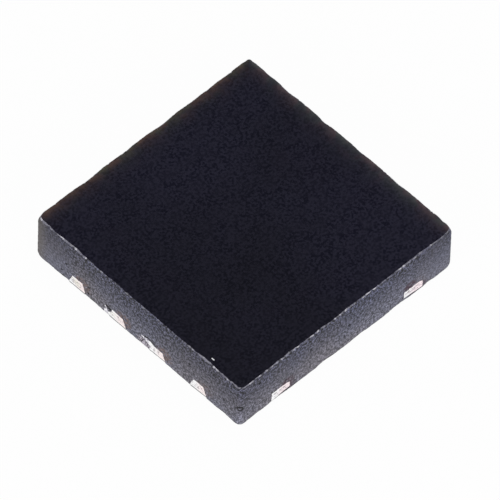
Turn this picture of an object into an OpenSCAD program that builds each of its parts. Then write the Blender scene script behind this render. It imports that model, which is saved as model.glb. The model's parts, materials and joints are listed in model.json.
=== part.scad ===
// Ambient light sensor in an eight-terminal leadless package.
// A sawn block of black resin holds an etched copper lead frame, a sensing chip and its bond wires.
// Origin: centre of the base, on the circuit board. X runs across the two rows of terminals, Y along them.
// All sizes are in millimetres.

/* [Package] */
// Side of the resin block across the two rows of terminals
body_x = 4.0; // [3.3:0.1:5]
// Side of the resin block along the rows of terminals
body_y = 4.0; // [3.3:0.1:5]
// Height from the circuit board to the top face
body_h = 0.84; // [0.7:0.01:1.2]
// Radius of the four upright corners
corner_r = 0.05; // [0.02:0.01:0.2]
// How far the metal stands out below the resin
standoff = 0.01; // [0.01:0.005:0.02]

/* [Lead frame] */
// Thickness of the copper sheet that the frame is etched from
frame_t = 0.19; // [0.15:0.01:0.25]
// Depth etched away from below, where the resin grips under the rim and the bond fingers
etch = 0.07; // [0.05:0.01:0.1]
// Depth etched away from below the tie bars
tie_etch = 0.03; // [0.03:0.01:0.05]

/* [Terminals] */
// Distance from one terminal to the next in a row
pitch = 0.8; // [0.65:0.05:1]
// Width of a terminal's foot on the circuit board
terminal_w = 0.32; // [0.25:0.01:0.4]
// Width of a terminal's sawn end along its upper edge
terminal_top_w = 0.20; // [0.14:0.01:0.24]
// Height up to which the sides of a sawn end stand upright
terminal_shoulder = 0.04; // [0.03:0.01:0.1]
// Length of a terminal's foot, in from the side wall
terminal_l = 0.40; // [0.33:0.01:0.5]
// How far the bond finger reaches past the foot's inner end
finger_lip = 0.05; // [0.03:0.01:0.08]
// How far the bond finger reaches past the foot on each side
finger_wing = 0.03; // [0.01:0.01:0.05]
// Resin between the bond finger and the side wall
finger_setback = 0.12; // [0.08:0.01:0.15]
// Radius of the bond finger's corners
finger_r = 0.08; // [0.04:0.01:0.11]

/* [Die pad] */
// Gap between a terminal's foot and the exposed pad
pad_gap = 0.29; // [0.24:0.01:0.4]
// Resin between the exposed pad's end and the side wall
pad_end = 0.50; // [0.4:0.01:0.6]
// Width of the rim that stands out round the pad above the etched step
pad_rim = 0.10; // [0.05:0.01:0.12]
// Radius of the pad's corners
pad_r = 0.10; // [0.05:0.01:0.2]
// Chamfer of the exposed corner by terminal one
pin_one_chamfer = 0.35; // [0.25:0.01:0.5]
// Width of each of the four tie bars
tie_w = 0.34; // [0.25:0.01:0.42]
// Radius of the fillets where the tie bars leave the pad
tie_fillet = 0.08; // [0.04:0.01:0.12]

/* [Sensing chip] */
// Side of the chip across the rows of terminals
die_x = 1.50; // [1.2:0.05:1.8]
// Side of the chip along the rows of terminals
die_y = 1.70; // [1.4:0.05:2.2]
// Thickness of the chip
die_t = 0.20; // [0.15:0.01:0.24]
// Side of the filtered light-sensing area in the middle of the chip
sensing_w = 0.70; // [0.4:0.05:0.85]
// Side of a bond pad on the chip
bond_pad_w = 0.09; // [0.08:0.01:0.11]
// Thickness of the filter coating and of the bond pads
film_t = 0.004; // [0.003:0.001:0.006]
// Distance from one bond pad to the next
bond_pitch = 0.36; // [0.2:0.02:0.4]
// Distance from the edge of the chip in to the middle of a bond pad
bond_inset = 0.10; // [0.08:0.01:0.14]
// Thickness of the adhesive under the chip
attach_t = 0.025; // [0.015:0.005:0.04]
// How far the adhesive spreads past the chip
attach_spread = 0.05; // [0.02:0.01:0.1]

/* [Bond wires] */
// Diameter of a wire
wire_d = 0.025; // [0.018:0.001:0.033]
// Diameter of the ball on the chip
ball_d = 0.065; // [0.05:0.005:0.075]
// Height of the ball on the chip
ball_h = 0.024; // [0.015:0.001:0.03]
// Height of a wire's loop above the ball
loop_h = 0.11; // [0.08:0.01:0.14]
// Distance from the bond finger's outer edge in to where the wire lands
landing = 0.13; // [0.09:0.01:0.18]
// Length of the flattened stitch at the end of a wire
stitch_l = 0.07; // [0.05:0.01:0.1]

/* [Hidden] */
$fn = 48;
per_row = 4;
terminals = 2 * per_row;
// How far a cutter runs on past the side wall
past = 0.2;
// A wire is a tube with this many flat sides, and its loop has this many straight steps
sides = 8;
loop_steps = 12;

pad_x = body_x - 2 * (terminal_l + pad_gap);
pad_y = body_y - 2 * pad_end;
rim_x = pad_x + 2 * pad_rim;
rim_y = pad_y + 2 * pad_rim;
finger_l = terminal_l + finger_lip - finger_setback;
finger_w = terminal_w + 2 * finger_wing;
landing_x = body_x / 2 - finger_setback - landing;
die_z = frame_t + attach_t;
die_top = die_z + die_t;
ball_z = die_top + film_t;
loop_z = ball_z + ball_h;
wire_r = wire_d / 2;
// Height of a ring's centre above its lowest flat, as a share of its half height
flat_share = cos(180 / sides);

// Terminals 1 to 4 run down the -X row, and 5 to 8 up the +X row
function row_side(i) = i <= per_row ? -1 : 1;
function row_place(i) = i <= per_row ? per_row - i : i - per_row - 1;
function along_row(i, step) = (row_place(i) - (per_row - 1) / 2) * step;

// Where wire i leaves the chip, and where it lands on its terminal
function chip_point(i) = [row_side(i) * (die_x / 2 - bond_inset), along_row(i, bond_pitch)];
function landing_point(i) = [row_side(i) * landing_x, along_row(i, pitch)];

// Rounded rectangle, centred
module rounded(x, y, r) {
    square([x - 2 * r, y], center = true);
    square([x, y - 2 * r], center = true);
    for (sx = [-1, 1], sy = [-1, 1])
        translate([sx * (x / 2 - r), sy * (y / 2 - r)])
            circle(r);
}

// Fillet in the corner between the -X and +Y directions
module corner_fillet(r) {
    difference() {
        translate([-r, 0])
            square(r);
        translate([-r, r])
            circle(r);
    }
}

// Outline of a foot, with straight sides, a round inner end and its outer end on x = 0
module foot_outline(run_on) {
    r = terminal_w / 2;
    translate([r - terminal_l, -r])
        square([terminal_l - r + run_on, terminal_w]);
    translate([r - terminal_l, 0])
        circle(r);
}

// Section of a terminal at the saw cut, upright at the foot and narrower above the shoulder
module sawn_section() {
    half = terminal_w / 2;
    top = terminal_top_w / 2;
    polygon([
        [-half, 0], [half, 0], [half, terminal_shoulder],
        [top, frame_t], [-top, frame_t], [-half, terminal_shoulder]
    ]);
}

// One terminal with its sawn end on x = 0 and its inner end towards -X
module terminal_shape(run_on) {
    intersection() {
        translate([-terminal_l, 0, 0])
            rotate([90, 0, 90])
                linear_extrude(terminal_l + run_on)
                    sawn_section();
        linear_extrude(frame_t)
            foot_outline(run_on);
    }
    translate([-finger_setback - finger_l / 2, 0, etch])
        linear_extrude(frame_t - etch)
            rounded(finger_l, finger_w, finger_r);
}

module terminal(i, run_on = 0) {
    color("peru")
        translate([row_side(i) * body_x / 2, along_row(i, pitch), 0])
            rotate([0, 0, row_side(i) > 0 ? 0 : 180])
                terminal_shape(run_on);
}

// Exposed underside of the pad, with the corner by terminal one cut off
module pad_outline() {
    difference() {
        rounded(pad_x, pad_y, pad_r);
        translate([-pad_x / 2, pad_y / 2])
            rotate(45)
                square(pin_one_chamfer * sqrt(2), center = true);
    }
}

// What belongs at the +X side of the +Y end, repeated at all four corners of the pad
module at_each_corner() {
    for (across = [0, 1], along = [0, 1])
        mirror([across, 0])
            mirror([0, along])
                children();
}

// Upper level of the pad, with a fillet to each tie bar
module rim_outline() {
    rounded(rim_x, rim_y, pad_r);
    at_each_corner()
        translate([rim_x / 2 - tie_w, rim_y / 2])
            corner_fillet(tie_fillet);
}

// Tie bar in line with the rim's long edge. It held the pad in the frame until the saw cut it.
// It reaches in under the rim, as far as halfway along the chamfer by terminal one.
module tie_bar(run_on) {
    reach = pin_one_chamfer / 2;
    translate([rim_x / 2 - tie_w, pad_y / 2 - reach])
        square([tie_w, reach + pad_end + run_on]);
}

module die_pad(run_on = 0) {
    color("peru") {
        linear_extrude(etch)
            pad_outline();
        translate([0, 0, etch])
            linear_extrude(frame_t - etch)
                rim_outline();
        translate([0, 0, tie_etch])
            linear_extrude(frame_t - tie_etch)
                at_each_corner()
                    tie_bar(run_on);
    }
}

module die_attach() {
    color("lightgray")
        translate([0, 0, frame_t])
            linear_extrude(attach_t)
                rounded(die_x + 2 * attach_spread, die_y + 2 * attach_spread, attach_spread);
}

// Filter coating and bond pads, seen from above
module chip_films() {
    square(sensing_w, center = true);
    for (i = [1:terminals])
        translate(chip_point(i))
            square(bond_pad_w, center = true);
}

module sensing_die() {
    color("slategray") {
        translate([-die_x / 2, -die_y / 2, die_z])
            cube([die_x, die_y, die_t]);
        translate([0, 0, die_top - film_t])
            linear_extrude(2 * film_t)
                chip_films();
    }
}

// A bond wire is a row of rings, each [distance from the chip point, height, slope, half width, half height].
// The rings of the ball stand on the chip, those of the loop follow a curve, and those of the stitch lie down.
function curve(a, b, c, d, t) =
    pow(1 - t, 3) * a + 3 * pow(1 - t, 2) * t * b + 3 * (1 - t) * t * t * c + t * t * t * d;
function curve_heading(a, b, c, d, t) =
    pow(1 - t, 2) * (b - a) + 2 * (1 - t) * t * (c - b) + t * t * (d - c);

// Each row is [share of the ball's height, share of its radius]
ball_profile = [[0, 0.75], [0.2, 1], [0.5, 1], [0.75, 0.7]];
function ball_rings() =
    let (r = ball_d / 2)
    [for (step = ball_profile) [0, ball_z + step[0] * ball_h, 90, step[1] * r, step[1] * r]];

// The curve climbs straight up from the ball. Its control points stand half as high again as the loop.
function loop_rings(span) =
    let (
        peak = loop_z + 1.5 * loop_h,
        a = [0, loop_z],
        b = [0, peak],
        c = [span / 2, peak],
        d = [span, frame_t + wire_r * flat_share]
    )
    [for (k = [0:loop_steps])
        let (
            t = k / loop_steps,
            p = curve(a, b, c, d, t),
            v = curve_heading(a, b, c, d, t),
            slope = k == loop_steps ? 0 : atan2(v[1], v[0])
        )
        [p[0], p[1], slope, wire_r, wire_r]];

// Each row is [share of the stitch's length, width and height as shares of the wire's]
stitch_profile = [[0.45, 1.6, 0.45], [1, 1.3, 0.3]];
function stitch_rings(span) =
    [for (step = stitch_profile)
        let (half_h = step[2] * wire_r)
        [span + step[0] * stitch_l, frame_t + half_h * flat_share, 0, step[1] * wire_r, half_h]];

// Corners of a ring round a wire that starts at a point of the chip and runs in direction way
function ring_points(ring, start, way) =
    [for (k = [0:sides - 1])
        let (
            angle = (k + 0.5) * 360 / sides,
            across = ring[3] * cos(angle),
            up = ring[4] * sin(angle),
            out = ring[0] - up * sin(ring[2])
        )
        [
            start[0] + way[0] * out - way[1] * across,
            start[1] + way[1] * out + way[0] * across,
            ring[1] + up * cos(ring[2])
        ]];

// Closed tube through a row of rings
module tube(rings) {
    last = (len(rings) - 1) * sides;
    skin = [for (n = [0:sides:last - sides], k = [0:sides - 1])
        let (next = (k + 1) % sides)
        [n + k, n + sides + k, n + sides + next, n + next]];
    first_cap = [for (k = [0:sides - 1]) k];
    last_cap = [for (k = [0:sides - 1]) last + sides - 1 - k];
    polyhedron(
        points = [for (ring = rings) each ring],
        faces = concat(skin, [first_cap], [last_cap])
    );
}

module bond_wire(i) {
    start = chip_point(i);
    run = landing_point(i) - start;
    span = norm(run);
    rings = concat(ball_rings(), loop_rings(span), stitch_rings(span));
    color("gold")
        tube([for (ring = rings) ring_points(ring, start, run / span)]);
}

// The resin is moulded round everything else, so each piece leaves its own shape in it
module package_body() {
    color("#1c1c26")
        difference() {
            translate([0, 0, standoff])
                linear_extrude(body_h - standoff)
                    rounded(body_x, body_y, corner_r);
            die_pad(past);
            die_attach();
            sensing_die();
            for (i = [1:terminals]) {
                terminal(i, past);
                bond_wire(i);
            }
        }
}

package_body();
die_pad();
die_attach();
sensing_die();
for (i = [1:terminals]) {
    terminal(i);
    bond_wire(i);
}
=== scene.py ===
import json
import math
import random

import bmesh
import bpy
import numpy as np
from mathutils import Matrix, Vector, geometry, noise

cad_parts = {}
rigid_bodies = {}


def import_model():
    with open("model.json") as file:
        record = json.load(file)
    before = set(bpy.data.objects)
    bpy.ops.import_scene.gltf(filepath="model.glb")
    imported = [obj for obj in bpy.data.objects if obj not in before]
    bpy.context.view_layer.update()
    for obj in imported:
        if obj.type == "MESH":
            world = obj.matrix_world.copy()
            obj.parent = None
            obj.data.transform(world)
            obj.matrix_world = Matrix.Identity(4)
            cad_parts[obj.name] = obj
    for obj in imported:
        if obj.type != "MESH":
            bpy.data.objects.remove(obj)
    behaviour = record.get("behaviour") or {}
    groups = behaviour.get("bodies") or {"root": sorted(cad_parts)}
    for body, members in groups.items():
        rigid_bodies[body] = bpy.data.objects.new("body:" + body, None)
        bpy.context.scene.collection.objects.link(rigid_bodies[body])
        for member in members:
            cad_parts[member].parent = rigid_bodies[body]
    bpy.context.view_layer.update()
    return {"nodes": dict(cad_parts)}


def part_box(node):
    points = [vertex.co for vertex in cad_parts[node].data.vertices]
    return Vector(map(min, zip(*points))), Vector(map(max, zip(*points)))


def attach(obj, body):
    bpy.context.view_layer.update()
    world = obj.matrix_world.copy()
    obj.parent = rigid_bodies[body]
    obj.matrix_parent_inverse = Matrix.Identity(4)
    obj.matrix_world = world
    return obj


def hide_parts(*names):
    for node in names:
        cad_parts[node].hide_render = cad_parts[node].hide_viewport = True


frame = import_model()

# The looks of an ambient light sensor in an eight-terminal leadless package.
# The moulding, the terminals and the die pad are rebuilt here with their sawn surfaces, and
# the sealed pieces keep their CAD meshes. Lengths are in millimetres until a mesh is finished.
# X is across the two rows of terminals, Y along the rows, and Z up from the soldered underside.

MM = 0.001          # metres in a millimetre
UP = Vector((0, 0, 1))
BODY_LOW, BODY_HIGH = (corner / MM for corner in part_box("package_body"))
HALF = BODY_HIGH.x  # half of the square block's side
BASE = BODY_LOW.z   # the resin's underside
TOP = BODY_HIGH.z
MID_Z = (BASE + TOP) / 2
CORNER_R = 0.06     # rounding of the block's upright corners
FACING = 0.7        # a direction faces a side if this much of it points that way
TERMINALS = [f"terminal_{n}" for n in range(1, 9)]
PITCH = 0.8         # of the terminals in a row
TIE_W = 0.34        # width of the die pad's tie bars
TIE_X = 1.24        # and their distance from the middle
TIE_LOW = 0.03      # height of their half-etched underside
WIRES = [f"bond_wire_{n}" for n in range(1, 9)]

# The moulding's skin
COLUMN = 0.0125         # spacing of the skin's vertices round the block
ROW = 0.02              # and up its sides
SKIN = 0.0035           # from the CAD's flat sides in to the middle of the rough skin
CAP_SKIN = 0.003        # the same on the moulded top
TOP_SPACING = 0.045     # spacing of the top's vertices, which is halved near its edge
BASE_SPACING = 0.09     # and of the underside's
FINE_FROM = 0.056       # how far in from the sides the halved spacing starts
FINE_TO = 0.17          # and ends
EDGE_R = 0.013          # rounding of the top edge
RINGS = (0.024, 0.034)  # depths of the flat rings inside the top edge
ROUGH = 0.003           # height of the sawn grain
MOULDED_SHARE = 0.25    # of that height on the moulded faces
GRAIN = 26.0            # grains in a millimetre
BREAK_LEAST = 0.001     # the least that the top edges broke off
BREAK_MOST = 0.030      # and the most
BREAK_CORNER = 0.014    # the most at an upright corner
CORNER_REACH = 0.12     # how far from the corner it grows to the most
BASE_BREAK = 0.010      # what the far bottom edges broke off, on average
BASE_MOST = 0.024       # the most of any bottom edge
NEAR_REACH = 0.022      # how far down the breaks of the near top edges go
FAR_REACH = 0.05        # and those of the far ones
BASE_REACH = 0.06       # how far up the breaks of the bottom edges go
TOP_WHOLE = 0.017       # how far in over the top a break keeps its depth
BASE_WHOLE = 0.012      # the same on the underside
INNER_REACH = 0.04      # how far past there it fades out
WORN_R = 0.16           # rounding that wear gave the top's corners
SMALL_WORN_R = 0.11     # the same at the near corner and on the base
WORN_REACH = 0.11       # how far down or up the uprights that wear goes


def placed(name, data):
    """A new object in the scene."""
    made = bpy.data.objects.new(name, data)
    bpy.context.scene.collection.objects.link(made)
    return made


def make_object(name, mesh, materials):
    """A finished piece on the root body, from a mesh in millimetres."""
    mesh.transform(Matrix.Scale(MM, 4))
    mesh.name = name
    piece = placed(name, mesh)
    dress(mesh, materials)
    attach(piece, "root")
    return piece


def dress(mesh, materials):
    """Gives a mesh these materials and no others."""
    mesh.materials.clear()
    for material in materials:
        mesh.materials.append(material)


def mesh_of(shape):
    """A mesh from a bmesh, which is then freed."""
    mesh = bpy.data.meshes.new("part")
    shape.to_mesh(mesh)
    shape.free()
    return mesh


def cad_copy(node):
    """A closed copy of a CAD node's mesh, in millimetres."""
    copy = bmesh.new()
    copy.from_mesh(frame["nodes"][node].data)
    copy.transform(Matrix.Scale(1 / MM, 4))
    bmesh.ops.remove_doubles(copy, verts=copy.verts, dist=1e-4)
    return copy


def combine(mesh, tools, operation):
    """The mesh with the tools' solids taken out of it or joined to it."""
    blank = placed("blank", mesh)
    group = bpy.data.collections.new("tools")
    bpy.context.scene.collection.children.link(group)
    for tool in tools:
        group.objects.link(bpy.data.objects.new("tool", tool))
    change = blank.modifiers.new("combine", "BOOLEAN")
    change.operand_type = "COLLECTION"
    change.collection = group
    change.operation = operation
    change.solver = "MANIFOLD"
    shaped = blank.evaluated_get(bpy.context.evaluated_depsgraph_get())
    result = bpy.data.meshes.new_from_object(shaped)
    for solid in list(group.objects):
        bpy.data.objects.remove(solid)
    bpy.data.collections.remove(group)
    bpy.data.objects.remove(blank)
    return result


def block_outline():
    """Points round the block's plan as complex numbers, and the outward direction at each."""
    flat = HALF - CORNER_R
    steps = round(2 * flat / COLUMN)
    turns = math.ceil(CORNER_R * math.pi / 2 / COLUMN)
    straight = np.linspace(-flat, flat, steps, endpoint=False) - 1j * HALF
    angle = np.linspace(-math.pi / 2, 0, turns, endpoint=False)
    corner = flat * (1 - 1j) + CORNER_R * np.exp(1j * angle)
    side = np.concatenate([straight, corner])
    outward = np.concatenate([np.full(steps, -1j), np.exp(1j * angle)])
    turn = 1j ** np.arange(4)[:, None]
    return (turn * side).ravel(), (turn * outward).ravel()


def skin_profile():
    """Depth inside the flat side, height and slope of each row from the underside to the top."""
    rows = [(0.030, BASE, -90), (0.018, BASE, -90), (0.010, BASE + 0.002, -50), (SKIN, BASE + 0.009, 0)]
    edge = TOP - CAP_SKIN - EDGE_R
    rows += [(SKIN, z, 0) for z in np.linspace(rows[-1][1], edge, round((edge - rows[-1][1]) / ROW))[1:]]
    for slope in (22, 45, 68, 90):
        turn = math.radians(slope)
        rows.append((SKIN + EDGE_R * (1 - math.cos(turn)), edge + EDGE_R * math.sin(turn), slope))
    return rows + [(depth, TOP - CAP_SKIN, 90) for depth in RINGS]


def scattered(draw, spacing, inner, outer):
    """Points on an uneven square grid, between two distances inside the block's sides."""
    count = round(2 * HALF / spacing)
    for i in range(count):
        for j in range(count):
            x = -HALF + (i + 0.5 + draw.uniform(-0.35, 0.35)) * spacing
            y = -HALF + (j + 0.5 + draw.uniform(-0.35, 0.35)) * spacing
            if outer <= HALF - max(abs(x), abs(y)) < inner:
                yield Vector((x, y))


def cap_faces(ring, spacing, draw):
    """Small uneven triangles that fill a plan outline, and the points that they add inside it."""
    points = [Vector((p.real, p.imag)) for p in ring]
    points += scattered(draw, spacing / 2, FINE_TO, FINE_FROM)
    points += scattered(draw, spacing, HALF, FINE_TO)
    edges = [(n, (n + 1) % len(ring)) for n in range(len(ring))]
    found = geometry.delaunay_2d_cdt(points, edges, [], 1, 1e-6)
    return found[2], points[len(ring):]


def body_shell(draw):
    """The smooth block's vertices, the way each faces, the way out of its side, and the faces."""
    outline, outward = block_outline()
    rows = skin_profile()
    count = len(outline)
    places, ways, aside, faces = [], [], [], []
    for depth, z, slope in rows:
        lean = math.radians(slope)
        places += [(p.real, p.imag, z) for p in outline - depth * outward]
        ways += [(w.real * math.cos(lean), w.imag * math.cos(lean), math.sin(lean)) for w in outward]
        aside += [(w.real, w.imag, 0) for w in outward]
    for row in range(len(rows) - 1):
        for c in range(count):
            near, far = row * count + c, row * count + (c + 1) % count
            faces.append((near, far, far + count, near + count))
    for row, spacing, up in ((len(rows) - 1, TOP_SPACING, 1), (0, BASE_SPACING, -1)):
        depth, z = rows[row][:2]
        triangles, inside = cap_faces(outline - depth * outward, spacing, draw)
        number = list(range(row * count, (row + 1) * count))
        number += range(len(places), len(places) + len(inside))
        places += [(p.x, p.y, z) for p in inside]
        ways += [(0, 0, up)] * len(inside)
        aside += [(0, 0, 0)] * len(inside)
        faces += [tuple(number[v] for v in triangle[::up]) for triangle in triangles]
    return np.array(places), np.array(ways, float), np.array(aside, float), faces


def depth_inside(places):
    """How far each place lies inside the block's rounded square plan, up to CORNER_R."""
    beyond = np.maximum(np.abs(places[:, :2]) - (HALF - CORNER_R), 0)
    return CORNER_R - np.linalg.norm(beyond, axis=1)


def ripple(places, scale, seed):
    """Smooth noise from -1 to 1 at each place, with a wavelength of 1 / scale."""
    shift = Vector((seed * 17.3, seed * 5.1, seed * 11.7))
    return np.array([noise.noise(Vector(p) * scale + shift) for p in places])


def roughen(places, ways):
    """Raises the sawn grain on the sides, and a much finer one on the moulded faces."""
    sawn = np.clip(1.2 - np.abs(ways[:, 2]) * 1.2, MOULDED_SHARE, 1)
    grain = ripple(places, GRAIN, 1) + 0.5 * ripple(places, GRAIN / 4, 2)
    return places + ways * (np.clip(grain, -1, 1) * ROUGH * sawn)[:, None]


def faded(distance, reach):
    """1 where there is no distance, and evenly down to 0 at that reach."""
    return np.clip(1 - distance / reach, 0, 1)


# How the edges of the top and the near edges of the base broke off. Each has the way it faces,
# how deep it broke all along, how much that wavers, and its deeper stretches as place along
# the edge, half length and depth
TOP_EDGES = [
    ((1, 0), 0.003, 0.004, [
        (-1.80, 0.05, 0.014), (-1.45, 0.10, 0.006), (-0.92, 0.20, 0.018), (-0.21, 0.11, 0.012),
        (0.50, 0.10, 0.025), (1.20, 0.13, 0.022), (1.60, 0.10, 0.008), (1.91, 0.05, 0.008)]),
    ((0, 1), 0.003, 0.004, [
        (-1.65, 0.08, 0.008), (-1.06, 0.20, 0.024), (-0.36, 0.16, 0.013), (0.33, 0.16, 0.022),
        (0.90, 0.12, 0.011), (1.22, 0.10, 0.010), (1.55, 0.09, 0.008), (1.92, 0.05, 0.012)]),
    ((-1, 0), 0.009, 0.006, [
        (1.86, 0.11, 0.016), (1.45, 0.09, 0.012), (1.25, 0.13, 0.025), (1.02, 0.06, 0.006),
        (0.46, 0.10, 0.010), (-0.32, 0.08, 0.005), (-1.00, 0.05, 0.010), (-1.31, 0.13, 0.025),
        (-1.50, 0.07, 0.008), (-1.70, 0.06, 0.008), (-1.90, 0.07, 0.013)]),
    ((0, -1), 0.0065, 0.006, [
        (-1.30, 0.12, 0.011), (-1.06, 0.10, 0.018), (-0.74, 0.12, 0.007), (-0.46, 0.09, 0.014),
        (0.02, 0.12, 0.012), (0.27, 0.12, 0.010), (0.90, 0.18, 0.006), (1.10, 0.06, 0.010),
        (1.36, 0.12, 0.016), (1.57, 0.06, 0.006), (1.87, 0.10, 0.005)]),
]
NEAR_BASE_EDGES = [
    ((-1, 0), 0.007, 0.005, [
        (1.40, 0.07, 0.010), (0.90, 0.25, 0.007), (-0.60, 0.06, 0.005), (-1.68, 0.08, 0.009)]),
    ((0, -1), 0.009, 0.005, [
        (-1.66, 0.10, 0.006), (-1.25, 0.20, 0.012), (-0.40, 0.12, 0.018),
        (0.30, 0.14, 0.012), (0.98, 0.15, 0.019), (1.58, 0.07, 0.012)]),
]


def edge_breaks(places, aside, edges, waver, depth):
    """How deep the edge at each place broke off: as its entry says, or by that depth."""
    for facing, even, uneven, stretches in edges:
        along = places[:, 0 if facing[1] else 1]
        deeper = sum(most * np.exp(-((along - middle) / half) ** 2) for middle, half, most in stretches)
        depth = np.where(aside[:, :2] @ facing > FACING, even + deeper + uneven * waver, depth)
    return depth


def break_along_edges(places, aside):
    """Breaks the top and bottom edges off to uneven bevels."""
    flat = places * (1, 1, 0)
    inside = depth_inside(places)
    top = edge_breaks(places, aside, TOP_EDGES, ripple(flat, 11, 6), 0)
    past_corner = HALF - CORNER_R - np.min(np.abs(places[:, :2]), axis=1)
    most = BREAK_CORNER + (BREAK_MOST - BREAK_CORNER) * np.clip(past_corner / CORNER_REACH, 0, 1)
    reach = np.where(np.min(aside[:, :2], axis=1) < -FACING, NEAR_REACH, FAR_REACH)
    top = np.clip(top, BREAK_LEAST, most)
    top *= faded(TOP - places[:, 2], reach) * faded(inside - TOP_WHOLE, INNER_REACH)
    fine = ripple(flat, 10, 8)
    far = BASE_BREAK * (1 + 2.2 * ripple(flat, 3.3, 7) + 1.4 * fine)
    base = np.clip(edge_breaks(places, aside, NEAR_BASE_EDGES, fine, far), 0, BASE_MOST)
    base *= faded(places[:, 2] - BASE, BASE_REACH) * faded(inside - BASE_WHOLE, INNER_REACH)
    return places - aside * (top + base)[:, None]


def round_corners(places):
    """Wears the ends of the uprights rounder than their middles, but not the far upright's."""
    small = (np.max(places[:, :2], axis=1) < 0) | (places[:, 2] < TOP / 2)
    reach = np.where(small, SMALL_WORN_R, WORN_R)
    past = np.maximum(np.abs(places[:, :2]) - (HALF - reach[:, None]), 0)
    square, circle = (np.linalg.norm(past, ord=power, axis=1) for power in (5, 2))
    near_top = faded(TOP - places[:, 2], WORN_REACH) ** 2
    near_base = faded(places[:, 2] - BASE, WORN_REACH) ** 2
    # Turns the square lines of equal distance into round ones, and less so further in
    share = (1 - square / np.maximum(circle, 1e-9)) * (square / reach) ** 2
    share *= np.maximum(near_top, 0.07 + 0.8 * near_base) * (np.min(places[:, :2], axis=1) < 0)
    places[:, :2] -= np.sign(places[:, :2]) * past * share[:, None]


def scoop(places, at, out, width, depth):
    """Breaks a rough hollow of that width and depth into the skin, from the outside."""
    out = np.array(out, float) / np.linalg.norm(out)
    radius = (width * width / 4 + depth * depth) / (2 * depth)
    centre = np.array(at) + out * (radius - depth)
    offset = places - centre
    far = np.linalg.norm(offset, axis=1)
    inside = np.nonzero(far < radius)[0]
    uneven = 1 + depth / radius * 0.35 * ripple(places[inside], 45, 3)
    reach = np.maximum(far[inside], radius * uneven)
    places[inside] = centre + offset[inside] / far[inside, None] * reach[:, None]


def ring_pit(places, at, out, radius, depth):
    """Leaves the round groove of a grain that stays in the middle of its pit."""
    out = np.array(out, float) / np.linalg.norm(out)
    offset = places - np.array(at)
    along = offset @ out
    far = np.linalg.norm(offset - along[:, None] * out, axis=1)
    groove = np.exp(-((far - radius) / (0.35 * radius)) ** 2) * (np.abs(along) < 2 * radius)
    places -= out * (depth * groove)[:, None]


# Chips on the near left top edge: place along Y, width, depth
LEFT_CHIPS = [
    (1.76, 0.09, 0.024), (1.51, 0.06, 0.018), (1.29, 0.09, 0.024), (1.17, 0.06, 0.018),
    (1.01, 0.07, 0.020), (0.42, 0.06, 0.015), (0.26, 0.04, 0.012), (0.06, 0.05, 0.014),
    (-1.16, 0.07, 0.018), (-1.29, 0.06, 0.018), (-1.41, 0.08, 0.022), (-1.63, 0.08, 0.020),
    (-1.82, 0.08, 0.020), (-1.94, 0.09, 0.020),
]
# The same on the near right top edge, along X
RIGHT_CHIPS = [(-0.06, 0.07, 0.018), (0.01, 0.05, 0.015), (0.47, 0.07, 0.017), (0.58, 0.06, 0.016)]
# Larger hollows in the near left side: place along Y, height, width, depth
LEFT_HOLLOWS = [
    (-0.12, 0.10, 0.13, 0.020), (0.595, 0.185, 0.07, 0.030), (0.545, 0.165, 0.08, 0.030),
    (-0.15, 0.245, 0.05, 0.020), (-0.20, 0.245, 0.05, 0.020), (-0.26, 0.235, 0.045, 0.018),
    (1.41, 0.35, 0.06, 0.020),
]
# The same in the near right side, along X
RIGHT_HOLLOWS = [(0.05, 0.44, 0.06, 0.024), (0.03, 0.10, 0.05, 0.018), (0.26, 0.50, 0.05, 0.018)]
# The flat at the near top corner, and the ring-shaped pit in the upright below it
CORNER_FLAT = dict(at=(0.032 - HALF, 0.032 - HALF, TOP - CAP_SKIN), out=(-1, -1, 1.2),
                   width=0.09, depth=0.0165)
RING_PIT = dict(at=(0.018 - HALF, 0.018 - HALF, 0.385), out=(-1, -1, 0), radius=0.040, depth=0.016)


def break_seen_places(places):
    """The larger chips and hollows of the two near sides, where the photo shows them."""
    for y, width, depth in LEFT_CHIPS:
        scoop(places, (-HALF + SKIN, y, TOP - CAP_SKIN), (-1, 0, 1.4), width, depth)
    for x, width, depth in RIGHT_CHIPS:
        scoop(places, (x, -HALF + SKIN, TOP - CAP_SKIN), (0, -1, 1.4), width, depth)
    for y, z, width, depth in LEFT_HOLLOWS:
        scoop(places, (-HALF, y, z), (-1, 0, 0), width, depth)
    for x, z, width, depth in RIGHT_HOLLOWS:
        scoop(places, (x, -HALF, z), (0, -1, 0), width, depth)
    scoop(places, **CORNER_FLAT)
    ring_pit(places, **RING_PIT)


def break_edges(places, draw):
    """Chips along the top and bottom edges and the upright corners, and pits in the sides."""
    for turn in (1, 1j, -1, -1j):
        out = turn * -1j
        corner = turn * (HALF - 0.25 * CORNER_R) * (1 + 1j)
        for z, up, most in ((TOP - CAP_SKIN, 1.4, 0.075), (BASE, -1, 0.06)):
            for _ in range(45):
                at = turn * complex(draw.uniform(-HALF, HALF), -HALF + SKIN)
                width = draw.uniform(0.02, most)
                depth = width * draw.uniform(0.15, 0.3)
                scoop(places, (at.real, at.imag, z), (out.real, out.imag, up), width, depth)
        for _ in range(30):
            width = draw.uniform(0.02, 0.045)
            at = (corner.real, corner.imag, draw.uniform(BASE, TOP))
            scoop(places, at, (corner.real, corner.imag, 0), width, width * 0.2)
        for _ in range(70):
            at = turn * complex(draw.uniform(-HALF, HALF), -HALF + SKIN)
            width = draw.uniform(0.025, 0.06)
            place = (at.real, at.imag, draw.uniform(BASE + 0.03, TOP - 0.03))
            scoop(places, place, (out.real, out.imag, 0), width, width * draw.uniform(0.15, 0.35))


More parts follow.
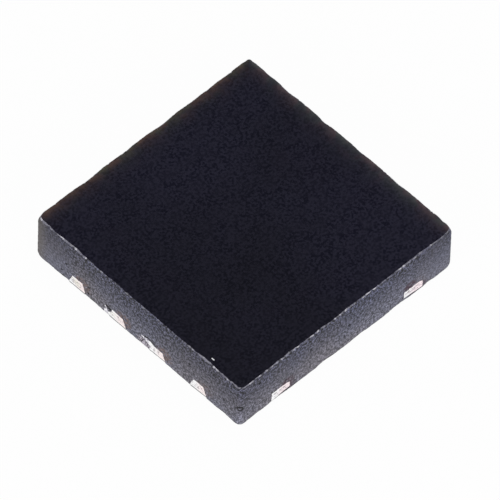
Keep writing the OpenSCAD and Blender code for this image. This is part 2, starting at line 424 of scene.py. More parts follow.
def package_body(metal, materials):
    """The moulding: a block of resin sawn on four sides, with pockets for all that it holds."""
    draw = random.Random(4)
    places, ways, aside, faces = body_shell(draw)
    places = break_along_edges(roughen(places, ways), aside)
    round_corners(places)
    break_seen_places(places)
    break_edges(places, draw)
    solid = bpy.data.meshes.new("block")
    solid.from_pydata(places.tolist(), [], faces)
    sealed = [mesh_of(cad_copy(node)) for node in ["die_attach", "sensing_die"] + WIRES]
    mesh = combine(solid, metal + sealed, "DIFFERENCE")
    piece = make_object("moulding", mesh, materials)
    paint_sawn_faces(mesh)
    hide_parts("package_body")


def paint_sawn_faces(mesh):
    """Gives the sawn material to the faces of the block's sides and their broken edges."""
    centres = np.array([face.center for face in mesh.polygons]) / MM
    upward = np.array([face.normal.z for face in mesh.polygons])
    above = TOP - centres[:, 2]
    top = (above < CAP_SKIN + ROUGH / 2) & (upward > 0.85)
    under = (centres[:, 2] - BASE < 0.002) & (upward < -0.7)
    outer = (depth_inside(centres) < 0.03) | (above < 0.06)
    mesh.polygons.foreach_set("material_index", (outer & ~top & ~under).astype(np.int32))
    mesh.shade_smooth()
    mesh.set_sharp_from_angle(angle=math.radians(60))


END_DEPTH = 0.03        # how deep the saw's marks reach into a sawn metal end
END_GRID = 0.016        # spacing of the end's vertices
END_REACH = 0.35        # from an end's middle to either side, past its smears
END_FACE = 0.008        # metal no deeper than this is an end's sawn face
SMEAR = (0.001, 0.014)  # depths of a smear's outer and inner face
POCKET_OUT = 0.03       # how far out a pocket's solid goes past an end's sawn face
POCKET_DOWN = 0.06      # and how far down past the foot at a terminal's end


class End:
    """A sawn metal end, and how the saw changed its outline. Left and right are as seen from outside."""

    def __init__(self, facing, middle, half_width, low, high, seen_low, seen_high=None,
                 drag=0.0, stretch=1.0, worn=0.0):
        self.facing = Vector(facing)
        self.right = UP.cross(self.facing)
        self.middle = Vector(middle)
        self.half_width = half_width
        self.low = low              # heights of the end's lower and upper edge
        self.high = high
        self.seen_low = seen_low    # the same after the saw, at the left and right
        self.seen_high = seen_high or (high, high)
        self.drag = drag            # how far the saw pulled the metal to the right
        self.stretch = stretch
        self.worn = worn            # how far its upper right corner wore down

    def depth(self, place):
        """How far a place lies behind the block's flat side."""
        return HALF - place.dot(self.facing)

    def aside(self, place):
        """How far a place lies to the right of the end's middle."""
        return (place - self.middle).dot(self.right)

    def place(self, aside, z, depth):
        """The place at that distance to the right, height and depth."""
        along = self.right * (aside + self.middle.dot(self.right))
        return along + self.facing * (HALF - depth) + UP * z

    def height(self, aside, z):
        """The height after the saw of a place on the end."""
        across = min(max(aside / self.half_width, -1), 1) / 2 + 0.5
        low = self.seen_low[0] + (self.seen_low[1] - self.seen_low[0]) * across
        high = self.seen_high[0] + (self.seen_high[1] - self.seen_high[0]) * across
        high -= self.worn * max(0.0, across - 0.82) / 0.18
        return low + (z - self.low) / (self.high - self.low) * (high - low)


def smear(end, outline):
    """A thin closed slab of metal with that outline, just under the block's flat side."""
    shape = bmesh.new()
    rings = [[shape.verts.new(end.place(a, z, depth)) for a, z in outline] for depth in SMEAR]
    for ring in rings:
        shape.faces.new(ring)
    for n in range(len(outline)):
        m = (n + 1) % len(outline)
        shape.faces.new((rings[0][n], rings[0][m], rings[1][m], rings[1][n]))
    bmesh.ops.recalc_face_normals(shape, faces=shape.faces)
    return mesh_of(shape)


def cut_end_grid(shape, end):
    """Cuts the metal near a sawn end into a fine grid."""
    def near():
        """The geometry between the end and END_DEPTH behind it."""
        faces = []
        for face in shape.faces:
            centre = face.calc_center_median()
            if end.depth(centre) < END_DEPTH and abs(end.aside(centre)) < END_REACH:
                faces.append(face)
        return faces + list({e for f in faces for e in f.edges}) + list({v for f in faces for v in f.verts})

    def cut(geometry_near, place, way):
        """Cuts that geometry with a plane."""
        bmesh.ops.bisect_plane(shape, geom=geometry_near, dist=1e-6, plane_co=place, plane_no=way)

    cut(shape.verts[:] + shape.edges[:] + shape.faces[:], end.place(0, 0, END_DEPTH), end.facing)
    for depth in (0.016, 0.006):
        cut(near(), end.place(0, 0, depth), end.facing)
    for aside in np.arange(-END_REACH, END_REACH, END_GRID):
        cut(near(), end.place(aside, 0, 0), end.right)
    for z in np.arange(END_GRID, end.high + 0.03, END_GRID):
        cut(near(), end.place(0, z, 0), UP)


def wear_end(shape, end, seed):
    """Saw streaks on the end face, an uneven outline, and metal dragged along by the saw."""
    shift = Vector((seed * 3.7, seed * 9.1, 0))
    rise = shape.verts.layers.float.get("rise") or shape.verts.layers.float.new("rise")
    for v in shape.verts:
        depth, aside, z = end.depth(v.co), end.aside(v.co), v.co.z
        if depth > END_DEPTH - 1e-4 or abs(aside) > END_REACH:
            continue
        v[rise] = z
        near = 1 - depth / END_DEPTH
        place = Vector((aside, z, seed))
        streak = noise.noise(Vector((aside * 3, z * 45, seed * 7.0)))
        inward = (0.0025 + 0.0015 * streak + 0.001 * noise.noise(place * 20)) * near
        sideways = end.drag + (end.stretch - 1) * aside + noise.noise(place * 14) * 0.007
        v.co -= end.facing * max(0.0, min(inward, 0.006))
        v.co += end.right * sideways * near
        v.co.z += (end.height(aside, z) - z + noise.noise(place * 14 + shift) * 0.005) * near
        v.co.z = max(v.co.z, 0.0)


# Outlines of metal that the saw smeared over the resin beside a terminal: distance to the
# right of the terminal's middle as it is seen from outside, and height
SMEARS = {
    "terminal_2": [(-0.10, 0.03), (-0.265, 0.018), (-0.262, 0.08), (-0.225, 0.10), (-0.262, 0.15),
                   (-0.235, 0.157), (-0.198, 0.108), (-0.175, 0.07), (-0.145, 0.11), (-0.09, 0.13)],
    "terminal_3": [(-0.05, 0.13), (-0.165, 0.115), (-0.20, 0.145), (-0.245, 0.165), (-0.275, 0.18),
                   (-0.335, 0.178), (-0.345, 0.20), (-0.29, 0.224), (-0.26, 0.218), (-0.225, 0.23),
                   (-0.165, 0.224), (-0.10, 0.216), (-0.05, 0.19)],
}
# How the saw changed the near terminals' ends, and the others'
TERMINAL_ENDS = {
    "terminal_1": dict(seen_low=(0.024, 0.036), seen_high=(0.212, 0.224), drag=0.022, stretch=0.95),
    "terminal_2": dict(seen_low=(0.020, 0.026), seen_high=(0.222, 0.190), drag=0.014),
    "terminal_3": dict(seen_low=(0.022, 0.050), drag=-0.014, stretch=0.92),
    "terminal_4": dict(seen_low=(0.016, 0.046), seen_high=(0.210, 0.220), drag=-0.010, stretch=0.94),
}
FAR_TERMINAL_END = dict(seen_low=(0.012, 0.025), seen_high=(0.188, 0.196))
# How the saw changed the two near tie-bar ends, by the side of the middle that they are on
TIE_ENDS = {
    -1: dict(seen_low=(0.062, 0.095), seen_high=(0.215, 0.215), drag=0.015, stretch=0.99, worn=0.035),
    1: dict(seen_low=(0.095, 0.056), seen_high=(0.218, 0.213), drag=0.027, stretch=1.01, worn=0.035),
}
FAR_TIE_END = dict(seen_low=(0.045, 0.070), seen_high=(0.182, 0.172), drag=0.02)


def terminal(name, seed):
    """One copper terminal with its sawn end."""
    low, high = (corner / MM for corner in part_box(name))
    middle = (low + high) / 2
    end = End((math.copysign(1, middle.x), 0, 0), middle, (high.y - low.y) / 2, low.z, high.z,
              **TERMINAL_ENDS.get(name, FAR_TERMINAL_END))
    shape = cad_copy(name)
    if name in SMEARS:
        joined = combine(mesh_of(shape), [smear(end, SMEARS[name])], "UNION")
        shape = bmesh.new()
        shape.from_mesh(joined)
    cut_end_grid(shape, end)
    wear_end(shape, end, seed)
    return shape


def die_pad():
    """The copper pad with its four sawn tie bars."""
    high = (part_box("die_pad")[1] / MM).z
    shape = cad_copy("die_pad")
    bars = [(facing, side) for facing in (-1, 1) for side in (-1, 1)]
    for seed, (facing, side) in enumerate(bars, 21):
        change = TIE_ENDS[side] if facing < 0 else FAR_TIE_END
        end = End((0, facing, 0), (side * TIE_X, 0, 0), TIE_W / 2, TIE_LOW, high, **change)
        cut_end_grid(shape, end)
        wear_end(shape, end, seed)
    return shape


def pocket(mesh, open_below):
    """The solid that the metal takes up in the resin, let out past the block's sides and base."""
    tool = mesh.copy()
    for v in tool.vertices:
        out = max(abs(v.co.x), abs(v.co.y))
        if open_below and out > HALF - END_DEPTH * 0.9 and v.co.z < 0.05:
            v.co.z -= POCKET_DOWN
        for axis in (0, 1):
            if abs(v.co[axis]) > HALF - END_FACE:
                v.co[axis] += math.copysign(POCKET_OUT, v.co[axis])
    return tool


def metal_piece(name, node, shape, materials):
    """A finished metal piece that stands for its CAD node, and the solid of its pocket."""
    bmesh.ops.recalc_face_normals(shape, faces=shape.faces)
    mesh = mesh_of(shape)
    tool = pocket(mesh, node in TERMINALS)
    piece = make_object(name, mesh, materials)
    paint_ends(mesh)
    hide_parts(node)
    return tool


def paint_ends(mesh):
    """Sawn copper on the ends, tin on the soldered underside, etched copper inside the resin."""
    for face in mesh.polygons:
        centre = face.center / MM
        out = max(abs(centre.x), abs(centre.y))
        if HALF - out < END_FACE:
            face.material_index = 1
        elif centre.z < 0.045 and face.normal.z < -0.4:
            face.material_index = 2
    mesh.shade_smooth()
    mesh.set_sharp_from_angle(angle=math.radians(35))
    for face in mesh.polygons:
        face.use_smooth = abs(face.normal.z) < 0.999


class Paint:
    """A material, with short calls for the nodes that these materials share."""

    def __init__(self, name, **fixed):
        self.material = bpy.data.materials.new(name)
        self.material.use_nodes = True
        self.tree = self.material.node_tree
        self.shader = self.tree.nodes["Principled BSDF"]
        for key, value in fixed.items():
            self.shader.inputs[key.replace("_", " ")].default_value = value
        metres = self.add("TexCoord").outputs["Object"]
        self.place = self.vector("MULTIPLY", metres, (1 / MM,) * 3)[0]
        self.x, self.y, self.z = self.add("SeparateXYZ", {0: self.place}).outputs

    def add(self, kind, inputs=None, **settings):
        """Adds a shader node with its settings, and links or sets its inputs."""
        made = self.tree.nodes.new("ShaderNode" + kind)
        for key, value in settings.items():
            setattr(made, key, value)
        for key, value in (inputs or {}).items():
            if isinstance(value, bpy.types.NodeSocket):
                self.tree.links.new(value, made.inputs[key])
            else:
                made.inputs[key].default_value = value
        return made

    def maths(self, operation, first, second=0.0):
        """The result of one calculation on two values."""
        return self.add("Math", {0: first, 1: second}, operation=operation).outputs[0]

    def vector(self, operation, first, second=(0, 0, 0)):
        """The outputs of one calculation on two vectors."""
        return self.add("VectorMath", {0: first, 1: second}, operation=operation).outputs

    def size(self, value):
        """A value without its sign."""
        return self.maths("ABSOLUTE", value)

    def off(self, value, middle):
        """How far a value is from another."""
        return self.size(self.maths("SUBTRACT", value, middle))

    def rest(self, value):
        """What is left of 1 beside a value."""
        return self.maths("SUBTRACT", 1.0, value)

    def product(self, *values):
        """Several values multiplied together."""
        result = values[0]
        for value in values[1:]:
            result = self.maths("MULTIPLY", result, value)
        return result

    def fit(self, value, low, high, start=0.0, end=1.0):
        """The value's range low to high, spread smoothly from start to end."""
        made = self.add("MapRange", {0: value, 1: low, 2: high, 3: start, 4: end},
                        interpolation_type="SMOOTHSTEP")
        return made.outputs[0]

    def noise(self, scale, detail, place=None):
        """Fractal noise with that many waves in a millimetre."""
        inputs = {"Vector": place or self.place, "Scale": scale, "Detail": detail}
        return self.add("TexNoise", inputs).outputs[0]

    def blend(self, factor, first, second, how="MIX"):
        """A colour between two, or the first changed by the second."""
        made = self.add("Mix", {0: factor, 6: rgba(first), 7: rgba(second)},
                        data_type="RGBA", blend_type=how)
        return made.outputs[2]

    def tinted(self, colour, tint):
        """A colour multiplied by another, or by a factor."""
        return self.blend(1.0, colour, tint, "MULTIPLY")

    def finish(self, colour, roughness, height, depth):
        """Links what varies to the shader. Depth is the bump's height in millimetres."""
        bump = self.add("Bump", {"Height": height, "Distance": depth * MM}).outputs[0]
        for key, value in (("Base Color", colour), ("Roughness", roughness), ("Normal", bump)):
            self.tree.links.new(value, self.shader.inputs[key])
        return self.material


def rgba(colour):
    """A colour with its alpha, or a socket as it is."""
    return colour if isinstance(colour, bpy.types.NodeSocket) else (*colour, 1.0)


def grey(level):
    """A plain grey."""
    return (level, level, level)


def side_depth(paint):
    """What depth_inside gives, for a material."""
    flat = HALF - CORNER_R
    size = paint.vector("ABSOLUTE", paint.place)[0]
    past = paint.vector("SUBTRACT", size, (flat, flat, 2 * TOP))[0]
    over = paint.vector("MAXIMUM", past)[0]
    return paint.maths("SUBTRACT", CORNER_R, paint.vector("LENGTH", over)["Value"])


def terminal_side(paint):
    """1 on the two sides with terminals, 0 on the two with tie bars."""
    return paint.maths("GREATER_THAN", paint.size(paint.x), paint.size(paint.y))


def from_middle(paint):
    """How far along its side a point is from the side's middle."""
    return paint.maths("MINIMUM", paint.size(paint.x), paint.size(paint.y))


def end_offset(paint):
    """Distance to the right of the nearest metal end's middle, seen from outside the block."""
    def nearest(along, first, spacing):
        """Distance along one axis from the nearest of a row of ends."""
        turns = paint.maths("DIVIDE", paint.maths("SUBTRACT", along, first), spacing)
        return paint.product(paint.maths("SUBTRACT", turns, paint.maths("ROUND", turns)), spacing)

    on_rows = terminal_side(paint)
    rows = paint.product(nearest(paint.y, PITCH / 2, PITCH), paint.maths("SIGN", paint.x), on_rows)
    bars = paint.product(nearest(paint.x, TIE_X, 2 * TIE_X), paint.maths("SIGN", paint.y),
                         paint.rest(on_rows))
    return paint.maths("SUBTRACT", rows, bars)


SCRATCH_AT = (-1.90, -1.36)  # X and Y of the top's scratch
RIM_FADE = 13.5              # how fast the top's painted glare rim fades inward, per millimetre
PIT_SHADE = (0.012, 0.011, 0.014)  # the painted shade in the resin's deep pits, and the painted shadow line beside terminal 3


def moulded_resin():
    """The satin black skin of the moulded top and underside."""
    paint = Paint("moulded_resin", Specular_IOR_Level=0.1)
    grain = paint.noise(26, 3)
    colour = paint.blend(paint.fit(grain, 0.4, 0.6), (0.0010, 0.0010, 0.0068), (0.0100, 0.0095, 0.0195))
    worn = paint.fit(paint.noise(5, 2), 0.40, 0.65, 0, 0.45)
    colour = paint.blend(worn, colour, (0.0085, 0.0080, 0.0165))
    far = paint.maths("MAXIMUM", paint.x, paint.y)
    clouds = paint.fit(paint.noise(0.7, 1), 0.35, 0.65, 0.9, 1.12)
    # Painted sheen: lighter towards the top's far edges and darker at its near corner
    colour = paint.tinted(colour, paint.product(clouds, paint.fit(far, -1.9, 1.8, 0.79, 1.22)))
    # Painted glare along the top's two far edges
    colour = far_edge_glare(paint, far, colour)
    colour = paint.blend(scratch(paint), colour, (0.80, 0.80, 0.83))
    roughness = paint.fit(paint.noise(18, 2), 0.3, 0.7, 0.55, 0.70)
    return paint.finish(colour, roughness, grain, 0.0015)


def scratch(paint):
    """1 on the short pale scratch beside the near left edge, between terminal 4 and the corner."""
    x, y = SCRATCH_AT
    return paint.product(paint.fit(paint.off(paint.x, x), 0.011, 0.005),
                         paint.fit(paint.off(paint.y, y), 0.030, 0.020))


def far_edge_glare(paint, far, colour):
    """Painted glare: the skin's paler rim along the top's two far edges, browner along the one at +Y."""
    at_y = paint.maths("GREATER_THAN", paint.y, paint.x)
    pale = paint.blend(at_y, (0.080, 0.070, 0.072), (0.080, 0.061, 0.046))
    tint = paint.blend(paint.fit(paint.noise(4, 2), 0.42, 0.58), (1.16, 0.94, 0.98), (0.86, 1.04, 1.00))
    rim = paint.maths("EXPONENT", paint.product(paint.maths("SUBTRACT", far, HALF), RIM_FADE))
    patches = paint.fit(paint.noise(9, 3), 0.35, 0.65, 0.75, 1.45)
    rim = paint.maths("MINIMUM", paint.product(rim, patches), 1.0)
    return paint.blend(rim, colour, paint.tinted(pale, tint))


def sawn_resin():
    """The grey sawn sides, where the saw opened the resin and its mineral grains."""
    paint = Paint("sawn_resin", Specular_IOR_Level=0.4)
    grain = paint.noise(26, 3)
    above = paint.maths("SUBTRACT", TOP, paint.z)
    colour = stains_and_glare(paint, sawn_grey(paint, grain))
    # Painted shade deep in the pits
    colour = paint.blend(pit_shade(paint, above), colour, PIT_SHADE)
    # A patch of painted shade and a painted shadow line beside terminal 3
    colour = shade_patch_and_shadow_line(paint, colour)
    # The top edge's worn bare filler and painted highlight, with painted glints on its shards
    bare_and_highlight = edge_wear_and_highlight(paint, above)
    colour = paint.blend(bare_and_highlight, colour, (0.22, 0.215, 0.26))
    shard_glints = paint.product(bare_and_highlight, paint.fit(paint.noise(17, 1), 0.52, 0.62))
    colour = paint.blend(shard_glints, colour, (0.58, 0.57, 0.62))
    roughness = paint.fit(paint.noise(40, 2), 0.3, 0.7, 0.55, 0.85)
    return paint.finish(colour, roughness, grain, 0.004)


def sawn_grey(paint, grain):
    """The sides' speckled grey, darker towards the top, and less so on the tie bars' sides."""
    height = paint.fit(paint.z, 0.0, 0.8)
    colour = paint.blend(height, (0.167, 0.162, 0.199), (0.052, 0.052, 0.078))
    pale_side = paint.product(height, paint.rest(terminal_side(paint)))
    colour = paint.tinted(colour, paint.blend(pale_side, grey(1.0), (1.06, 1.08, 1.12)))
    colour = paint.tinted(colour, speckle(paint, grain, (0.40, 1.64), (0.08, 2.15)))
    colour = paint.tinted(colour, speckle(paint, paint.noise(60, 1), (0.58, 1.45), (0.20, 1.85)))
    tint = paint.blend(paint.fit(paint.noise(1.2, 2), 0.35, 0.65), (1.03, 1.00, 0.95), (0.97, 1.00, 1.05))
    return paint.tinted(colour, tint)


def stains_and_glare(paint, colour):
    """The sides' colour with a painted brown glare on the upright by terminal 1, copper dust and the tie
    bars' stains.
    """
    # Painted glare: a brown band on the upright by terminal 1
    upright = paint.fit(paint.maths("SUBTRACT", paint.y, paint.x), 3.72, 3.98, 0, 0.7)
    colour = paint.blend(upright, colour, (0.150, 0.132, 0.115))
    aside = end_offset(paint)
    fine = paint.fit(paint.noise(36, 2), 0.42, 0.58)
    dust = paint.blend(fine, (0.095, 0.068, 0.068), (0.250, 0.165, 0.145))
    colour = paint.blend(copper_dust(paint, aside), colour, dust)
    return paint.blend(tie_bar_stain(paint, aside), colour, (0.058, 0.028, 0.046))


def pit_shade(paint, above):
    """1 deep in the pits of the sides, where their shade is painted, away from the top edge and the worn
    ends of the uprights.
    """
    ends = paint.fit(paint.off(paint.z, MID_Z), 0.28, 0.30)
    worn = paint.product(paint.fit(from_middle(paint), 1.86, 1.90), ends)
    return paint.product(paint.fit(side_depth(paint), 0.008, 0.014), paint.fit(above, 0.05, 0.065),
                         paint.rest(worn))


def shade_patch_and_shadow_line(paint, colour):
    """A mottled patch of painted shade with pale spots, and a dark line of painted shadow round the metal
    that is smeared beside terminal 3.
    """
    near = paint.maths("LESS_THAN", paint.x, 0.05 - HALF)
    # Painted shade of the hollows there, mottled with pale spots
    patch = paint.product(ellipse(paint, paint.y, paint.z, (-0.15, 0.09), (0.19, 0.12)), near)
    spots = paint.fit(paint.noise(32, 2), 0.46, 0.58)
    mottled = paint.blend(spots, (0.050, 0.042, 0.058), (0.62, 0.57, 0.64))
    colour = paint.blend(patch, colour, mottled)
    # Painted shadow: a dark line curving above the smeared metal
    bend = paint.maths("POWER", paint.maths("ADD", paint.y, 0.24), 2.0)
    height = paint.maths("ADD", paint.z, paint.product(bend, 2.0))
    shadow_line = paint.product(paint.fit(paint.off(height, 0.250), 0.018, 0.008), near,
                          paint.fit(paint.off(paint.y, -0.25), 0.14, 0.09))
    return paint.blend(shadow_line, colour, PIT_SHADE)


def speckle(paint, pattern, low, high):
    """A pattern's factor on the sides, from its darkest and lightest low down and near the top."""
    contrast = paint.fit(paint.z, 0.4, 0.8)
    deep, pale = (paint.blend(contrast, grey(a), grey(b)) for a, b in zip(low, high))
    calm = paint.fit(paint.maths("MAXIMUM", paint.x, paint.y), 1.1, 1.6, 0.0, 0.45)
    return paint.blend(calm, paint.blend(paint.fit(pattern, 0.36, 0.64), deep, pale), grey(1.0))


def ellipse(paint, across, up, middle, size):
    """1 well inside an ellipse on a side, and 0 outside it."""
    terms = []
    for place, centre, half in zip((across, up), middle, size):
        term = paint.maths("DIVIDE", paint.maths("SUBTRACT", place, centre), half)
        terms.append(paint.product(term, term))
    return paint.fit(paint.maths("ADD", *terms), 1.0, 0.2)


def copper_dust(paint, aside):
    """Where the saw left copper in the resin, above and to the right of each metal end."""
    speckled = paint.fit(paint.noise(24, 2), 0.40, 0.58, 0.1, 0.9)
    speckled = paint.product(speckled, paint.fit(terminal_side(paint), 0.0, 1.0, 0.6, 1.0),
                             paint.fit(paint.y, -1.6, -0.8, 0.3, 1.0))
    return paint.product(ellipse(paint, aside, paint.z, (0.13, 0.20), (0.19, 0.17)),
                         paint.fit(from_middle(paint), 1.64, 1.58), speckled)


def tie_bar_stain(paint, aside):
    """The dark red stain round each tie bar's end: above it, and below and right of it."""
    middle = paint.fit(paint.x, -0.1, 0.1, 0.14, -0.04)
    height = paint.fit(paint.x, -0.1, 0.1, 0.21, 0.27)
    above = ellipse(paint, aside, paint.z, (middle, height), (0.15, 0.11))
    above = paint.product(above, paint.fit(paint.noise(15, 2), 0.40, 0.56, 0.3, 1.0))
    right = paint.product(ellipse(paint, aside, paint.z, (0.10, 0.08), (0.22, 0.13)), 0.75)
    return paint.product(paint.maths("MAXIMUM", above, right), paint.rest(terminal_side(paint)))


def edge_wear_and_highlight(paint, above):
    """How bare and bright the top edge is, as worn filler and as a painted highlight: patchy, and faint in
    the middle of a terminal side.
    """
    middle = paint.fit(paint.size(paint.y), 0.75, 1.25, 0.22, 1.15)
    strength = paint.fit(terminal_side(paint), 0.0, 1.0, 0.70, middle)
    patches = paint.fit(paint.noise(13, 2), 0.41, 0.59, 0.25, 1.40)
    bare_and_highlight = paint.maths("MINIMUM", paint.product(strength, patches), 1.0)
    return paint.product(paint.fit(above, 0.020, 0.012), bare_and_highlight)


def sawn_copper():
    """Copper cut by the saw: pale and streaked, pink to the right, grey along its lower edge."""
    paint = Paint("sawn_copper", Metallic=1.0)
    aside = end_offset(paint)
    rise = paint.add("Attribute", attribute_name="rise").outputs["Fac"]
    on_rows = terminal_side(paint)
    pink = paint.blend(on_rows, (0.98, 0.85, 0.88), (1.0, 0.89, 0.88))
    colour = paint.blend(paint.fit(aside, -0.10, 0.08), (0.97, 0.97, 0.98), pink)
    colour = saw_marks(paint, aside, rise, on_rows, colour)
    dull = paint.blend(paint.maths("LESS_THAN", paint.y, 0.0), (0.52, 0.50, 0.57), (0.36, 0.34, 0.42))
    smeared = paint.blend(paint.fit(paint.noise(30, 2), 0.45, 0.60), dull, (0.95, 0.94, 0.97))
    colour = paint.blend(paint.product(on_rows, paint.fit(aside, -0.16, -0.19)), colour, smeared)
    under = paint.product(on_rows, paint.fit(rise, 0.030, 0.020), paint.fit(aside, -0.19, -0.16))
    colour = paint.blend(under, colour, grey(0.27))
    roughness = paint.fit(paint.noise(16, 3), 0.3, 0.7, 0.25, 0.45)
    streaks = paint.noise(1.0, 3, paint.vector("MULTIPLY", paint.place, (4, 4, 40))[0])
    return paint.finish(colour, roughness, streaks, 0.0015)


def saw_marks(paint, aside, rise, on_rows, colour):
    """The marks inside a sawn end: beige patches, dark outlines, and specks half way up."""
    inner = paint.product(paint.fit(rise, 0.040, 0.060), paint.fit(rise, 0.170, 0.150),
                          paint.fit(paint.size(aside), 0.15, 0.11))
    patches = paint.product(inner, on_rows, paint.fit(paint.noise(9, 1), 0.40, 0.52))
    beige = paint.product(patches, paint.fit(paint.y, 0.1, 0.9), paint.fit(aside, 0.12, 0.04))
    colour = paint.blend(beige, colour, (0.87, 0.84, 0.76))
    outline = paint.fit(paint.off(paint.noise(12, 1), 0.5), 0.032, 0.008, 0, 0.85)
    colour = paint.blend(paint.product(inner, outline), colour, (0.36, 0.32, 0.33))
    specks = paint.product(paint.fit(paint.off(rise, 0.11), 0.045, 0.020),
                           paint.fit(paint.noise(34, 2), 0.52, 0.60, 0, 0.85),
                           paint.rest(paint.product(on_rows, 0.7)))
    return paint.blend(specks, colour, (0.34, 0.26, 0.34))


def grained_metal(name, scales, colours, roughness, depth):
    """A metal with patches of the first scale in its colour, and a grain of the second."""
    paint = Paint(name, Metallic=1.0)
    patches, grain = (paint.noise(scale, 3) for scale in scales)
    colour = paint.blend(paint.fit(patches, 0.3, 0.7), *colours)
    return paint.finish(colour, paint.fit(grain, 0.3, 0.7, *roughness), grain, depth)


def matt_tin():
    """The soldered faces' matt tin."""
    colours = grey(0.60), (0.74, 0.73, 0.71)
    return grained_metal("matt_tin", (5, 60), colours, (0.35, 0.55), 0.002)


def etched_copper():
    """The lead frame's etched copper, which the resin covers."""
    colours = (0.72, 0.42, 0.32), (0.85, 0.56, 0.45)
    return grained_metal("etched_copper", (40, 40), colours, (0.35, 0.60), 0.002)


def silver_adhesive():
    """Flakes of silver in cured resin."""
    paint = Paint("silver_adhesive", Metallic=0.6)
    flakes = paint.add("TexVoronoi", {"Vector": paint.place, "Scale": 45}).outputs["Distance"]
    colour = paint.blend(paint.fit(flakes, 0.1, 0.6), (0.62, 0.62, 0.63), (0.40, 0.40, 0.41))
    return paint.finish(colour, paint.fit(flakes, 0.1, 0.6, 0.4, 0.75), flakes, 0.003)


def silicon():
    """The chip: sawn grey sides, a dark polished face, its filter coating and bond pads."""
    paint = Paint("silicon", Specular_IOR_Level=0.9)
    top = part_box("sensing_die")[1].z / MM
    grain = paint.noise(50, 2)
    sides = paint.blend(paint.fit(grain, 0.3, 0.7), (0.16, 0.16, 0.17), (0.24, 0.24, 0.26))
    face = paint.blend(paint.fit(paint.noise(8, 2), 0.4, 0.6), (0.075, 0.085, 0.115), (0.095, 0.095, 0.120))
    filtered = paint.blend(paint.fit(paint.noise(5, 1), 0.3, 0.7), (0.03, 0.14, 0.16), (0.10, 0.05, 0.16))
    out = paint.maths("MAXIMUM", paint.size(paint.x), paint.size(paint.y))
    film = paint.blend(paint.fit(out, 0.42, 0.44), filtered, (0.78, 0.78, 0.79))
    colour = paint.blend(paint.fit(paint.z, top - 0.006, top - 0.004), sides, face)
    colour = paint.blend(paint.fit(paint.z, top - 0.003, top - 0.001), colour, film)
    roughness = paint.fit(paint.z, top - 0.02, top - 0.004, 0.5, 0.12)
    return paint.finish(colour, roughness, grain, 0.0005)


def gold():
    """Drawn gold wire with faint marks along it."""
    colours = (0.90, 0.60, 0.20), (0.96, 0.72, 0.32)
    return grained_metal("gold", (30, 30), colours, (0.18, 0.35), 0.0008)


AIM = Vector((0, 0, 0.42))   # the part's middle
AZIMUTH = -45.391            # degrees
ELEVATION = 53.223
ROLL = 1.944
DISTANCE = 200.0
PIXELS_PER_MM = 73.809       # at AIM
AIM_AT = (244.346, 241.235)  # where AIM shows in the 500 by 500 picture
PICTURE = 500


def camera():
    """The photo's view, found by fitting a camera to the block's edges in it."""
    azimuth, elevation, roll = (math.radians(v) for v in (AZIMUTH, ELEVATION, ROLL))
    tilt = Matrix.Rotation(math.pi / 2 - elevation, 3, "X")
    turn = Matrix.Rotation(azimuth, 3, "Z") @ tilt @ Matrix.Rotation(roll, 3, "Z")
    aside = (PICTURE / 2 - AIM_AT[0]) / PIXELS_PER_MM
    above = (AIM_AT[1] - PICTURE / 2) / PIXELS_PER_MM
    eye = AIM + turn @ Vector((aside, above, DISTANCE))
    data = bpy.data.cameras.new("camera")
    data.sensor_width = 36
    data.lens = PIXELS_PER_MM * DISTANCE / PICTURE * data.sensor_width
    data.clip_start, data.clip_end = 0.01, 5
    made = placed("camera", data)
    made.matrix_world = Matrix.Translation(eye * MM) @ turn.to_4x4()
    bpy.context.scene.camera = made


LAMP_FAR = 0.12                      # metres from the part
FULL = math.pi ** 2 * LAMP_FAR ** 2  # watts that show a white facing the lamp as white
# Direction, share of FULL, size in metres
LAMPS = [
    ((0.1, -0.1, 1.0), 0.45, 0.10),
    ((-1.0, -0.25, 0.45), 0.40, 0.08),
    ((-0.25, -1.0, 0.45), 0.40, 0.08),
    ((1.0, 0.3, 0.30), 0.25, 0.08),
    ((0.3, 1.0, 0.30), 0.25, 0.08),
]


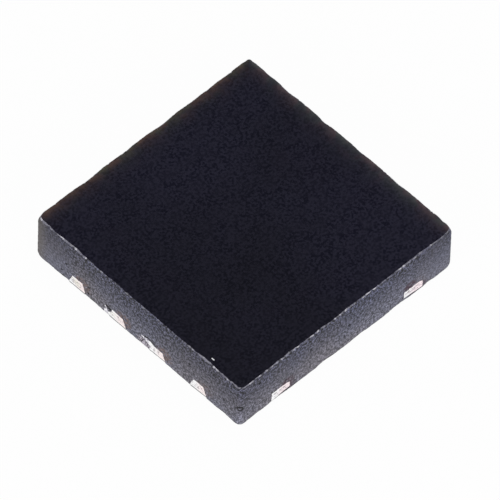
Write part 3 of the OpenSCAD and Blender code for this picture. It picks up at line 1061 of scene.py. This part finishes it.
def lamps():
    """Large soft lamps overhead and on the four sides, and a dim world."""
    for direction, share, size in LAMPS:
        way = Vector(direction).normalized()
        data = bpy.data.lights.new("lamp", "AREA")
        data.shape, data.size, data.energy = "DISK", size, FULL * share
        turn = way.to_track_quat("Z", "Y").to_matrix().to_4x4()
        placed("lamp", data).matrix_world = Matrix.Translation(way * LAMP_FAR) @ turn
    world = bpy.data.worlds.new("world")
    world.use_nodes = True
    world.node_tree.nodes["Background"].inputs["Color"].default_value = (0.05, 0.05, 0.06, 1)
    bpy.context.scene.world = world


FLOOR = 1.0         # metres out to the floor's edges
FLOOR_Z = -1e-6     # metres, just under the part
FLOOR_GLOW = 0.965  # how much of the floor shows plain white instead of its lit surface


def floor():
    """A white floor that keeps a faint shadow, and shows white to the camera and to gloss."""
    corners = [(x, y, FLOOR_Z) for x in (-FLOOR, FLOOR) for y in (-FLOOR, FLOOR)]
    mesh = bpy.data.meshes.new("floor")
    mesh.from_pydata(corners, [], [(0, 2, 3, 1)])
    made = placed("floor", mesh)
    paint = Paint("floor", Base_Color=(0.85, 0.85, 0.85, 1), Roughness=0.9, Specular_IOR_Level=0.1)
    rays = paint.add("LightPath").outputs
    seen = paint.maths("MAXIMUM", rays["Is Camera Ray"], rays["Is Glossy Ray"])
    seen = paint.maths("MAXIMUM", seen, rays["Is Transmission Ray"])
    glow = paint.add("Emission", {"Color": rgba(grey(1.0)), "Strength": 1.0}).outputs[0]
    share = paint.product(seen, FLOOR_GLOW)
    both = paint.add("MixShader", {0: share, 1: paint.shader.outputs[0], 2: glow}).outputs[0]
    paint.tree.links.new(both, paint.tree.nodes["Material Output"].inputs["Surface"])
    mesh.materials.append(paint.material)


def build():
    """Makes every piece and gives the sealed ones their materials."""
    metal = [etched_copper(), sawn_copper(), matt_tin()]
    tools = []
    for number, name in enumerate(TERMINALS, 1):
        tools.append(metal_piece(f"tinned_{name}", name, terminal(name, number), metal))
    tools.append(metal_piece("tinned_die_pad", "die_pad", die_pad(), metal))
    package_body(tools, [moulded_resin(), sawn_resin()])
    sealed = ((["die_attach"], silver_adhesive()), (["sensing_die"], silicon()), (WIRES, gold()))
    for names, material in sealed:
        for name in names:
            dress(frame["nodes"][name].data, [material])


build()
camera()
lamps()
floor()
bpy.context.scene.view_settings.view_transform = "Standard"
